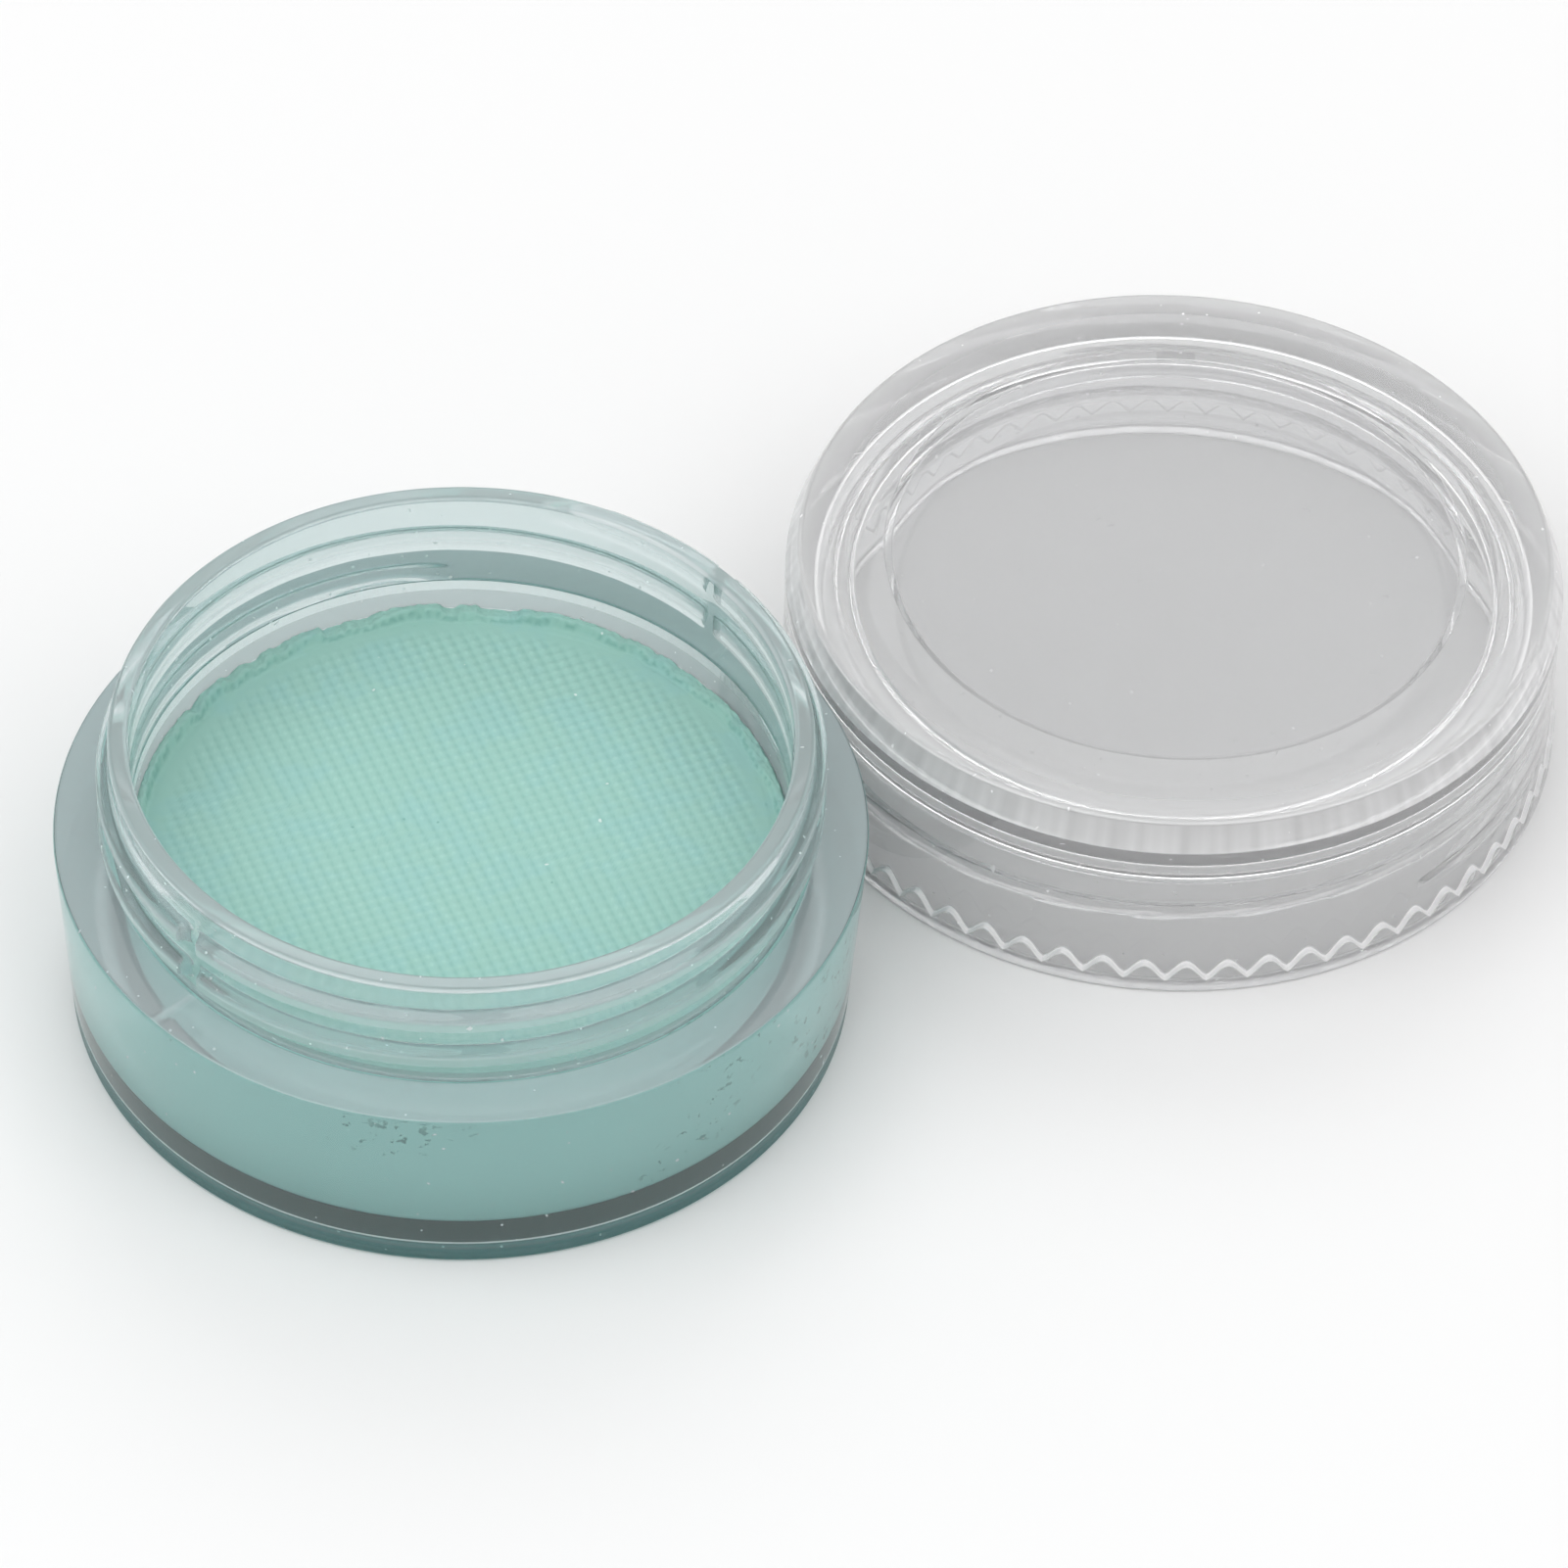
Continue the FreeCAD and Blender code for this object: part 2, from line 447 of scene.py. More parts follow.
def rounded_outline(corners: Sequence[Corner], longest: float) -> np.ndarray:
    """Works out an outline with round corners.

    Each inner corner gives way to an arc that touches both runs at round / tan(half the corner's
    angle) from it, and each straight run is cut into equal lengths.

    Args:
        corners: the outline's corners in order; the first and the last stay sharp.
        longest: the longest length that a run is cut into.

    Returns:
        An array of (radius, height) rows.
    """
    path = np.array([(c.r, c.z) for c in corners])
    rows = [path[:1]]
    for place in range(1, len(corners)):
        here = path[place]
        if corners[place].round > 0.0:
            back = path[place - 1] - here
            ahead = path[place + 1] - here
            back, ahead = back / np.linalg.norm(back), ahead / np.linalg.norm(ahead)
            half = 0.5 * math.acos(float(np.clip(back @ ahead, -1.0, 1.0)))
            reach = corners[place].round / math.tan(half)
            inward = (back + ahead) / np.linalg.norm(back + ahead)
            centre = here + inward * corners[place].round / math.sin(half)
            first, last = here + back * reach - centre, here + ahead * reach - centre
            sweep = math.pi - 2.0 * half
            share = np.linspace(0.0, 1.0, corners[place].arc + 1)[:, None]
            swung = np.sin((1.0 - share) * sweep) * first + np.sin(share * sweep) * last
            arc = centre + swung / math.sin(sweep)
        else:
            arc = here[None]
        start = rows[-1][-1]
        pieces = max(1, int(math.ceil(np.linalg.norm(arc[0] - start) / longest)))
        run = start + (arc[0] - start) * (np.arange(1, pieces) / pieces)[:, None]
        rows += [run, arc]
    return np.concatenate(rows)


def refine_wall(outline: np.ndarray, radius: float, count: int) -> np.ndarray:
    """Cuts an outline's upright run finely enough for a thread.

    Args:
        outline: (radius, height) rows.
        radius: the radius of the upright run.
        count: how many rows the run gets.

    Returns:
        The outline with evenly spaced rows in place of that run.
    """
    found = np.flatnonzero(np.isclose(outline[:, 0], radius))
    start, end = outline[found[[0, -1]], 1]
    fine = np.stack([np.full(count, radius), np.linspace(start, end, count)], -1)
    return np.concatenate([outline[:found[0]], fine, outline[found[-1] + 1:]])


def grid_faces(index: np.ndarray) -> np.ndarray:
    """Quads between the neighbouring points of a grid.

    Args:
        index: the points' indices, as a grid of two dimensions.

    Returns:
        An array of four indices a face.
    """
    corners = [index[:-1, :-1], index[:-1, 1:], index[1:, 1:], index[1:, :-1]]
    return np.stack(corners, -1).reshape(-1, 4)


def ring_faces(rows: int, columns: int, first: int) -> np.ndarray:
    """Quads between neighbouring rings.

    Args:
        rows: how many rings there are.
        columns: how many points each ring has.
        first: the index of the first ring's first point.

    Returns:
        An array of four indices a face, which turn outwards where the rings go up on the outside.
    """
    row, column = np.indices((rows - 1, columns))
    after = (column + 1) % columns
    low, high = first + row * columns, first + (row + 1) * columns
    return np.stack([low + column, low + after, high + after, high + column], -1).reshape(-1, 4)


def fan_faces(pole: int, first: int, columns: int, upwards: bool) -> np.ndarray:
    """Triangles from a pole to a ring, which close the surface there.

    Args:
        pole: the pole's index.
        first: the index of the ring's first point.
        columns: how many points the ring has.
        upwards: whether the triangles face up.

    Returns:
        An array of three indices a face.
    """
    column = np.arange(columns)
    after = (column + 1) % columns
    pair = (first + column, first + after) if upwards else (first + after, first + column)
    return np.stack([pair[0], pair[1], np.full(columns, pole)], -1)


def smooth_step(value: np.ndarray, low: float, high: float) -> np.ndarray:
    """Rises from 0 at low to 1 at high as 3 t t - 2 t t t."""
    t = np.clip((value - low) / (high - low), 0.0, 1.0)
    return t * t * (3.0 - 2.0 * t)


def ragged(angle: np.ndarray, counts: Sequence[int], seed: int) -> np.ndarray:
    """Waves round a circle that never quite repeat.

    The sum of sin(n a + p) over the counts n, each with its own chance phase p, times the square root
    of two over how many there are.

    Args:
        angle: angles in radians.
        counts: how many of each wave go round.
        seed: picks the phases.

    Returns:
        Values that mostly lie between -2 and 2.
    """
    phases = np.random.default_rng(seed).uniform(0.0, TURN, len(counts))
    return math.sqrt(2.0 / len(counts)) * sum(np.sin(n * angle + p) for n, p in zip(counts, phases))


def make_piece(name: str, points: np.ndarray, faces: Sequence[np.ndarray],
               crease: float = 38.0) -> bpy.types.Object:
    """Puts arrays into a mesh object.

    Args:
        name: the piece's name.
        points: its points in millimetres.
        faces: arrays of face indices.
        crease: the angle in degrees past which an edge stays sharp.

    Returns:
        The new object, linked to the scene at the origin.
    """
    mesh = bpy.data.meshes.new(name)
    mesh.from_pydata((points * MM).tolist(), [], [f for group in faces for f in group.tolist()])
    mesh.polygons.foreach_set("use_smooth", np.ones(len(mesh.polygons), bool))
    mesh.set_sharp_from_angle(angle=math.radians(crease))
    mesh.validate()
    piece = bpy.data.objects.new(name, mesh)
    bpy.context.scene.collection.objects.link(piece)
    return piece


def mark_points(piece: bpy.types.Object, name: str, values: np.ndarray) -> None:
    """Stores a number on each of a piece's points, for its material to read."""
    piece.data.attributes.new(name, "FLOAT", "POINT").data.foreach_set("value", values)


def turned_piece(name: str, radius: np.ndarray, height: np.ndarray, angle: np.ndarray, poles: tuple,
                 frost_and_painted_light: np.ndarray, centre: float = 0.0) -> bpy.types.Object:
    """Closes a grid of rings into a piece.

    A point of row s and column t lies at (centre + r cos a, r sin a, z), with r and z from the grids
    and a the column's angle. A pole on the axis closes each end.

    Args:
        name: the piece's name.
        radius: radii in millimetres, one row a ring.
        height: heights in millimetres, one row a ring.
        angle: the columns' angles.
        poles: the heights of the first and the last pole.
        frost_and_painted_light: how pale the plastic is painted at each point of the grid, mostly as
            painted highlights and painted light, with some frost.
        centre: how far along X the axis stands, in millimetres.

    Returns:
        The new object.
    """
    rows, columns = radius.shape
    rings = np.stack([centre + radius * np.cos(angle), radius * np.sin(angle), height], -1)
    ends = np.array([[centre, 0.0, pole] for pole in poles])
    points = np.concatenate([ends, rings.reshape(-1, 3)])
    first = len(ends)
    last = first + (rows - 1) * columns
    piece = make_piece(name, points, [
        ring_faces(rows, columns, first),
        fan_faces(0, first, columns, False),
        fan_faces(1, last, columns, True),
    ])
    mark_points(piece, "frost_and_painted_light", np.concatenate([np.zeros(first), frost_and_painted_light.ravel()]))
    return piece


def spread(rows: np.ndarray, columns: int) -> tuple[np.ndarray, np.ndarray]:
    """Repeats an outline's radii and heights over a number of columns."""
    return np.repeat(rows[:, :1], columns, 1), np.repeat(rows[:, 1:], columns, 1)


@dataclass
class ScrewThread:
    """A helical ridge on a round wall, which mould parting lines may break. Sizes in millimetres."""

    low: float
    turns: float
    pitch: float
    depth: float
    base: float
    crest: float
    start: float
    partings: tuple = ()
    gap: float = 0.7
    gap_edge: float = 0.25
    run_out: float = 0.04

    def rise(self, height: np.ndarray, angle: np.ndarray, radius: float) -> np.ndarray:
        """How far the ridge stands off the wall.

        The ridge's middle climbs one pitch each turn. Across it the height goes from full within
        half the crest's width to none at half the base's width, and along it it fades at both ends
        and breaks off at the partings.

        Args:
            height: heights in millimetres.
            angle: angles in radians.
            radius: the wall's radius.

        Returns:
            The ridge's height at each point.
        """
        turn = ((angle - self.start) % TURN) / TURN
        phase = (height - self.low) / self.pitch - turn
        lap = np.round(phase)
        across = np.abs(phase - lap) * self.pitch
        along = lap + turn
        shape = 1.0 - smooth_step(across, 0.5 * self.crest, 0.5 * self.base)
        fade = (smooth_step(along, 0.0, self.run_out)
                * (1.0 - smooth_step(along, self.turns - self.run_out, self.turns)))
        for parting in self.partings:
            away = np.abs((angle - parting + math.pi) % TURN - math.pi) * radius
            fade = fade * smooth_step(away, 0.5 * self.gap, 0.5 * self.gap + self.gap_edge)
        return self.depth * shape * fade


@dataclass
class Pot:
    """The clear jar and the paint pressed into it. Sizes are in millimetres.

    The rim's band is how far below the rim its painted highlight starts and is full. The weave's warp and
    weft are each given by their threads per millimetre and their direction, and its edge is how far in
    from the lip it starts to fade and is gone. The swell is how far the paint's face rises and falls.
    """

    foot: float = 19.3
    shoulder: float = 20.0
    ledge: float = 10.7
    neck: float = 17.2
    rim: float = 17.0
    bore: float = 16.2
    floor: float = 1.5
    groove_in: float = 16.9
    groove_out: float = 17.7
    groove_deep: float = 0.45
    groove_mouth_round: float = 0.1
    groove_round: float = 0.15
    foot_round: float = 0.3
    shoulder_round: float = 0.2
    neck_round: float = 0.3
    rim_round: float = 0.25
    floor_round: float = 0.3
    longest_run: float = 4.0
    columns: int = 560
    neck_rows: int = 62
    flash: float = 0.06
    flash_width: float = 0.16
    flash_frost: float = 8.0
    rim_painted_highlight: float = 0.35
    rim_band: tuple = (0.3, 0.1)
    crest_painted_highlight: float = 0.25
    groove_painted_light: float = 0.3
    parting: float = math.radians(-165.0)
    paint_top: float = 9.2
    paint_grid: int = 268
    paint_room: float = 0.05
    paint_crease: float = 70.0
    paint_bevel: float = 0.3
    side_heights: tuple = (8.6, 6.0, 3.6)
    swell: float = 0.05
    weave_warp: tuple = (1.634, math.radians(-6.2))
    weave_weft: tuple = (1.790, math.radians(83.0))
    weave_deep: float = 0.05
    weave_edge: tuple = (1.2, 0.1)
    lip_in: float = 15.25
    lip_rows: int = 11
    lip_span: tuple = (0.08, 0.94)
    lip_climb: float = 0.28
    lip_drop: float = 0.08
    lip_highest: float = math.radians(105.0)
    crumb_reach: float = 0.03
    crumb_height: float = 0.025
    crumb_lean: float = 0.35
    thread: ScrewThread = field(default_factory=lambda: ScrewThread(
        low=11.35, turns=1.97, pitch=2.4, depth=0.6, base=1.5, crest=0.45, start=math.radians(62.0)))
    # The jar's veil is teal: painted light, the paint's colour glowing in the clear walls, which the
    # plastic itself lacks.
    plastic: ClearPlastic = ClearPlastic(
        "clear_jar_plastic", tint=(0.86, 0.91, 0.92, 1.0), veil=(0.58, 0.79, 0.78, 1.0), dust=0.8,
        painted_light_and_dust=(0.84, 0.89, 0.90, 1.0), coatings=(
            # Painted light and shade on the jar: a painted pale coat on the ledge for the light seen
            # through it, the paint against the wall with its cracks, painted shade on the bare bore above
            # it, a painted shadow on the underside inside the groove, a painted teal reflection on the
            # foot's ring, painted dark teal shade on the foot of the wall and a painted highlight as the
            # bright line at the floor's height.
            Coating(Zone(0.0174, 0.0199, 0.01065, 0.0108), 0.45, (0.86, 0.90, 0.93, 1.0), 0.5),
            Coating(Zone(-1.0, 0.01625, 0.0014, 0.0093), 0.85, (0.46, 0.81, 0.765, 1.0), flaw=0.85),
            Coating(Zone(-1.0, 0.01625, 0.0094, 0.0107), 0.4, (0.42, 0.44, 0.46, 1.0)),
            Coating(Zone(-1.0, 0.0168, -0.0002, 0.0006), 0.8, (0.07, 0.13, 0.13, 1.0)),
            Coating(Zone(0.0173, 0.0194, -0.0002, 0.0002), 0.7, (0.15, 0.34, 0.33, 1.0)),
            Coating(Zone(0.0188, 0.0210, 0.0001, 0.0014), 0.55, (0.05, 0.17, 0.17, 1.0), 0.5),
            Coating(Zone(0.0188, 0.0210, 0.00142, 0.00154), 0.6, (0.80, 0.88, 0.88, 1.0), 0.3)))
    paint: PressedPaint = PressedPaint("mint_pressed_paint")

    def _jar_outline(self) -> np.ndarray:
        """Draws the jar's outline.

        Returns:
            Rows from the middle of the base over the rim to the middle of the floor.
        """
        corners = [
            Corner(0.0, 0.0),
            Corner(self.groove_in, 0.0, self.groove_mouth_round, 2),
            Corner(self.groove_in, self.groove_deep, self.groove_round, 2),
            Corner(self.groove_out, self.groove_deep, self.groove_round, 2),
            Corner(self.groove_out, 0.0, self.groove_mouth_round, 2),
            Corner(self.foot, 0.0, self.foot_round),
            Corner(self.shoulder, self.ledge, self.shoulder_round),
            Corner(self.neck, self.ledge, self.neck_round, 4),
            Corner(self.neck, self.rim, self.rim_round),
            Corner(self.bore, self.rim, self.rim_round),
            Corner(self.bore, self.floor, self.floor_round, 3),
            Corner(0.0, self.floor),
        ]
        return refine_wall(rounded_outline(corners, self.longest_run), self.neck, self.neck_rows)

    def build_jar(self) -> bpy.types.Object:
        """Turns the jar's outline and raises the thread on its neck.

        The mould's flash stands up on the ledge as flash exp(-(d / width) ^ 2), with d the distance
        from the parting line.

        Returns:
            The jar.
        """
        angle = np.arange(self.columns) * TURN / self.columns
        radius, height = spread(self._jar_outline()[1:-1], self.columns)
        self.thread.partings = (self.parting, self.parting + math.pi)
        on_neck = np.isclose(radius, self.neck)
        on_ledge = np.isclose(height, self.ledge) & (radius > self.neck)
        away = np.abs(np.sin(angle - self.parting)) * self.shoulder
        flash = on_ledge * self.flash * np.exp(-(away / self.flash_width) ** 2)
        ridge = on_neck * self.thread.rise(height, angle, self.neck)
        in_groove = ((height > 0.5 * self.groove_deep) & (height < self.floor)
                     & (radius < self.groove_out + self.groove_mouth_round))
        # Pale marks on the jar: a painted highlight round the rim, painted highlights on the thread's
        # crest, painted light in the groove, and frost on the mould's flash.
        start, full = self.rim_band
        frost_and_painted_light = (self.rim_painted_highlight * smooth_step(height, self.rim - start, self.rim - full)
                 + self.crest_painted_highlight * ridge / self.thread.depth
                 + self.flash_frost * flash
                 + self.groove_painted_light * in_groove)
        return turned_piece(
            "pot_jar", radius + ridge, height + flash, angle, (0.0, self.floor), frost_and_painted_light)

    def weave(self, x: np.ndarray, y: np.ndarray) -> tuple[np.ndarray, np.ndarray]:
        """The imprint of the cloth that the paint was pressed through.

        With u and v counting the threads both ways, the threads' ridges are p = cos(2 pi u) and
        q = cos(2 pi v), and the height is p / 2 + 0.35 q. The tone paints shade along the warp's valleys,
        where -p / 2 - 0.12 q passes 0.2, and a highlight on the crests, where p / 2 + 0.4 q passes 0.3.

        Args:
            x: places in millimetres.
            y: places in millimetres.

        Returns:
            A height between about -1 and 1, and a tone that is above 0 where shade is painted and below 0
            where a highlight is painted.
        """
        warp, weft = (np.cos(TURN * rate * (x * math.cos(turn) + y * math.sin(turn)))
                      for rate, turn in (self.weave_warp, self.weave_weft))
        dark = np.clip(-0.5 * warp - 0.12 * weft - 0.2, 0.0, 1.0)
        pale = np.clip(0.5 * warp + 0.4 * weft - 0.3, 0.0, 1.0)
        return 0.5 * warp + 0.35 * weft, dark - pale

    def lip_shape(self, angle: np.ndarray) -> tuple[np.ndarray, np.ndarray, np.ndarray]:
        """The ragged lip that the paint leaves against the bore.

        It stands highest at the back and the left. Fine waves past a threshold break chips out of it,
        and slower ones move its foot in and out. With s the slow waves, f the fine ones,
        b = (1 + cos(a - highest)) / 2 and c a smooth step of f + 0.9 s from -1.9 to 0.1, the height is
        (0.16 + 0.46 b) (0.5 + 0.5 c) (1 + 0.16 tanh s) and the foot is at 0.22 + 0.18 tanh(s + f / 2).

        Args:
            angle: angles in radians.

        Returns:
            The lip's height in millimetres, the place of its foot as a share of the lip's width, and
            the fine waves.
        """
        slow = ragged(angle, (3, 5, 7, 11, 16), 11)
        fast = ragged(angle, (13, 21, 34, 47, 65), 5)
        back = 0.5 + 0.5 * np.cos(angle - self.lip_highest)
        chips = smooth_step(fast + 0.9 * slow, -1.9, 0.1)
        height = (0.16 + 0.46 * back) * (0.5 + 0.5 * chips) * (1.0 + 0.16 * np.tanh(slow))
        return height, 0.22 + 0.18 * np.tanh(slow + 0.5 * fast), fast

    def _paint_face(self) -> tuple[np.ndarray, np.ndarray]:
        """Lays a square grid onto a disc for the paint's face.

        A grid point (a, b) goes to radius max(|a|, |b|) at the angle (pi / 4)(b / a) from the nearer
        axis, so the square's border is the disc's edge. The face swells as
        sin(0.61 x + 0.4) sin(0.47 y + 1.1) / 2 + sin(0.33 x - 0.52 y) / 2, and the weave fades out
        towards the lip.

        Returns:
            The points, and their tone.
        """
        side = np.linspace(-1.0, 1.0, self.paint_grid + 1)
        a, b = np.meshgrid(side, side)
        wide = np.abs(a) > np.abs(b)
        safe_a, safe_b = np.where(a == 0.0, 1.0, a), np.where(b == 0.0, 1.0, b)
        turn = np.where(wide, 0.25 * math.pi * b / safe_a, 0.5 * math.pi - 0.25 * math.pi * a / safe_b)
        reach = np.where(wide, a, b) * self.lip_in
        x, y = reach * np.cos(turn), reach * np.sin(turn)
        slow = 0.5 * np.sin(0.61 * x + 0.4) * np.sin(0.47 * y + 1.1) + 0.5 * np.sin(0.33 * x - 0.52 * y)
        start, end = self.weave_edge
        pressed = 1.0 - smooth_step(np.hypot(x, y), self.lip_in - start, self.lip_in - end)
        pattern, tone = self.weave(x, y)
        z = self.paint_top + self.swell * slow + self.weave_deep * pattern * pressed
        return np.stack([x, y, z], -1).reshape(-1, 3), (tone * pressed).ravel()

    def _paint_rings(self, angle: np.ndarray) -> tuple[np.ndarray, np.ndarray]:
        """Carries the face's border over the lip, down the side and under the cake.

        Across the lip the height climbs as a smooth step c that begins at the lip's foot, with crumbs k
        added to it. The tone, painted shade on the climb, is 3 c (1 - c) times 0.45 - f / 2 + k / 2, kept
        between 0 and 1, with f the lip's fine waves.

        Args:
            angle: the border points' angles.

        Returns:
            Rings of points, and their tone, which paints shade in the broken parts of the lip's climb.
        """
        columns = len(angle)
        lip, foot, fine = self.lip_shape(angle)
        edge = self.bore - self.paint_room
        bottom = self.floor + self.paint_room
        share = np.linspace(*self.lip_span, self.lip_rows)[:, None]
        climb = smooth_step(share, foot, foot + self.lip_climb)
        crumbs = ragged(angle + self.crumb_lean * share, (61, 97, 149, 211), 8)
        lip_r = self.lip_in + (edge - self.lip_in) * share + self.crumb_reach * crumbs * (1.0 - share)
        lip_z = self.paint_top + lip * climb + self.crumb_height * crumbs * climb
        side_z = np.array([*self.side_heights, bottom + self.paint_bevel, bottom])[:, None]
        side_r = np.full_like(side_z, edge)
        side_r[-1] -= self.paint_bevel
        ring_r = np.concatenate([lip_r, np.full((1, columns), edge), np.repeat(side_r, columns, 1)])
        ring_z = np.concatenate([lip_z, lip_z[-1:] - self.lip_drop, np.repeat(side_z, columns, 1)])
        rings = np.stack([ring_r * np.cos(angle), ring_r * np.sin(angle), ring_z], -1)
        tone = np.zeros_like(ring_r)
        # Painted shade on the lip's climb, strongest where it is broken.
        broken = np.clip(0.45 - 0.5 * fine + 0.5 * crumbs, 0.0, 1.0)
        tone[:self.lip_rows] = 3.0 * climb * (1.0 - climb) * broken
        return rings, tone

    def build_paint(self) -> bpy.types.Object:
        """Joins the paint's face, its lip, its side and its underside into one closed piece.

        Returns:
            The cake of paint.
        """
        face, face_tone = self._paint_face()
        first = len(face)
        index = np.arange(first).reshape(self.paint_grid + 1, -1)
        border = np.concatenate([index[0, :-1], index[:-1, -1], index[-1, :0:-1], index[:0:-1, 0]])
        columns = len(border)
        rings, ring_tone = self._paint_rings(np.arctan2(face[border, 1], face[border, 0]))
        pole = np.array([[0.0, 0.0, self.floor + self.paint_room]])
        points = np.concatenate([face, rings.reshape(-1, 3), pole])
        after = np.roll(np.arange(columns), -1)
        seam = np.stack([border[after], border, first + np.arange(columns), first + after], -1)
        side = ring_faces(len(rings), columns, first)[:, ::-1]
        last = first + (len(rings) - 1) * columns
        close = fan_faces(len(points) - 1, last, columns, True)[:, ::-1]
        piece = make_piece("pot_paint", points, [grid_faces(index), seam, side, close], self.paint_crease)
        mark_points(piece, "painted_shade_and_highlight", np.concatenate([face_tone, ring_tone.ravel(), np.zeros(len(pole))]))
        return piece

    def dress(self) -> list[bpy.types.Object]:
        """Builds both pieces, gives them their finishes and seats them on the frame.

        Returns:
            The pieces.
        """
        jar, paint = self.build_jar(), self.build_paint()
        jar.data.materials.append(self.plastic.make())
        paint.data.materials.append(self.paint.make())
        for piece, node, slot in ((jar, "jar", "clear_jar"), (paint, "paint_cake", "mint_paint")):
            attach(piece, Body.POT.value)
            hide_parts(node)
        return [jar, paint]


@dataclass
class Lid:
    """The clear screw lid that lies beside the pot. Sizes are in millimetres.

    The annulus's reach is how far in from the ridge its painted light starts and is full. The slope's
    painted highlight band fades in over heights counted from the shoulder and out over heights counted
    from the ridge's top.
    """

    centre: float = 40.4
    flange: float = 19.9
    flange_low: float = 0.92
    flange_high: float = 1.91
    flange_round: float = 0.1
    foot_round: float = 0.2
    mouth_round: float = 0.15
    skirt: float = 19.65
    skirt_shares: tuple = (0.02, 0.2, 0.4, 0.6, 0.8)
    shoulder: float = 9.7
    shoulder_drop: float = 0.4
    ridge: float = 19.0
    ridge_top: float = 11.3
    ridge_round: float = 0.35
    recess: float = 14.7
    recess_round: float = 0.15
    panel: float = 14.3
    panel_top: float = 11.0
    ceiling: float = 7.1
    ceiling_round: float = 0.4
    cavity: float = 18.15
    cavity_rows: int = 66
    seal_out: float = 17.1
    seal_in: float = 16.3
    seal_low: float = 6.05
    seal_round: float = 0.2
    longest_run: float = 4.0
    longest_top_run: float = 1.5
    waves: int = 60
    wave_power: float = 1.5
    wave_columns: int = 10
    wave_rows: int = 6
    wave_painted_highlight: float = 0.95
    rim_painted_highlight: float = 0.5
    rim_height: float = 0.1
    thread_painted_highlight: float = 0.3
    annulus_painted_light: float = 0.3
    annulus_reach: tuple = (2.6, 0.5)
    slope_painted_highlight: float = 0.5
    slope_in: tuple = (-0.1, 0.2)
    slope_out: tuple = (-0.4, -0.1)
    slope_inset: float = 0.1
    mottle: float = 0.15
    thread: ScrewThread = field(default_factory=lambda: ScrewThread(
        low=2.57, turns=1.45, pitch=2.4, depth=0.6, base=1.1, crest=0.3, start=math.radians(-80.0)))
    plastic: ClearPlastic = ClearPlastic(
        "clear_lid_plastic", tint=(0.885, 0.888, 0.892, 1.0), veil=(0.92, 0.92, 0.925, 1.0), dust=0.5,
        painted_light_and_dust_sheer=0.2, coatings=(
            # Painted shade on the panel: a grey coat that darkens it.
            Coating(Zone(-1.0, 0.01425, 0.0108, 0.0112, 0.0404), 0.24, (0.40, 0.40, 0.41, 1.0)),))

    def _inside(self) -> np.ndarray:
        """Draws the lid's inner outline.

        Returns:
            Rows from near the middle of the ceiling round the seal and down to the flange's face.
        """
        corners = [
            Corner(0.0, self.ceiling),
            Corner(self.seal_in, self.ceiling, self.seal_round, 3),
            Corner(self.seal_in, self.seal_low, self.seal_round, 3),
            Corner(self.seal_out, self.seal_low, self.seal_round, 3),
            Corner(self.seal_out, self.ceiling, self.seal_round, 3),
            Corner(self.cavity, self.ceiling, self.ceiling_round, 4),
            Corner(self.cavity, 0.0, self.mouth_round, 3),
            Corner(self.flange, 0.0, self.foot_round, 4),
            Corner(self.flange, 0.5 * self.flange_low),
        ]
        outline = rounded_outline(corners, self.longest_run)
        return refine_wall(outline, self.cavity, self.cavity_rows)[1:]

    def _top(self) -> np.ndarray:
        """Draws the lid's upper outline.

        Returns:
            Rows from the skirt's top over the ridge and across the recess.
        """
        return rounded_outline([
            Corner(self.skirt, self.shoulder - self.shoulder_drop),
            Corner(self.skirt, self.shoulder, self.ridge_round),
            Corner(self.ridge, self.ridge_top, self.ridge_round, 6),
            Corner(self.recess, self.ridge_top, self.recess_round, 3),
            Corner(self.panel, self.panel_top, self.recess_round, 3),
            Corner(0.0, self.panel_top),
        ], self.longest_top_run)[:-1]

    def _top_painted_light(self, radius: np.ndarray, height: np.ndarray, angle: np.ndarray) -> np.ndarray:
        """How much light is painted on the top: near the ridge, and in a mottled painted highlight band on
        the slope below it.

        Args:
            radius: the top's radii.
            height: the top's heights.
            angle: the columns' angles.

        Returns:
            The painted light at each point.
        """
        start, full = self.annulus_reach
        annulus = smooth_step(radius, self.ridge - start, self.ridge - full) * (height > self.shoulder)
        rising = smooth_step(height - self.shoulder, *self.slope_in)
        ending = smooth_step(height - self.ridge_top, *self.slope_out)
        slope = rising * (1.0 - ending) * (radius > self.ridge - self.slope_inset)
        mottle = 1.0 + self.mottle * ragged(angle, (23, 41, 67, 109, 171), 3)
        return self.annulus_painted_light * annulus + self.slope_painted_highlight * slope * mottle

